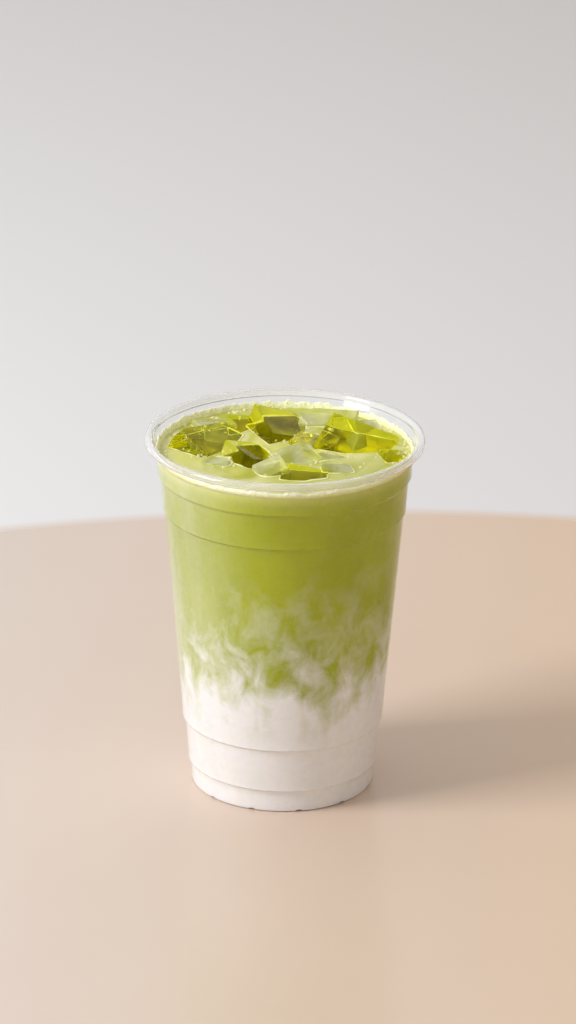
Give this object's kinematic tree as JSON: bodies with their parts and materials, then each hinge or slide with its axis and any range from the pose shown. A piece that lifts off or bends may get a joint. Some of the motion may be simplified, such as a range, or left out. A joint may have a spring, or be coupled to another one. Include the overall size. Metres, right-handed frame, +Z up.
{
  "type": "iced matcha latte in a clear takeaway cup",
  "caption": "Iced matcha latte: green matcha over white milk in a clear thermoformed cup with stepped, tapered wall, notched foot ring and rolled rim; open top.",
  "frame": {"origin": "centre of the circle that the cup's foot ring stands on", "axes": "+Z up along the cup's axis; the cup and the drink are round, so X and Y are free, and -Y is the side shown"},
  "size_m": [0.098, 0.098, 0.13],
  "materials": {
    "clear_plastic": "clear glossy thermoformed plastic",
    "milk": "smooth opaque liquid, milk",
    "matcha": "smooth opaque liquid, matcha in milk",
    "froth": "fine pale froth with bubbles"
  },
  "bodies": {
    "root": {"cup": "clear_plastic", "milk": "milk", "matcha": "matcha", "froth": "froth"}
  },
  "joints": []
}
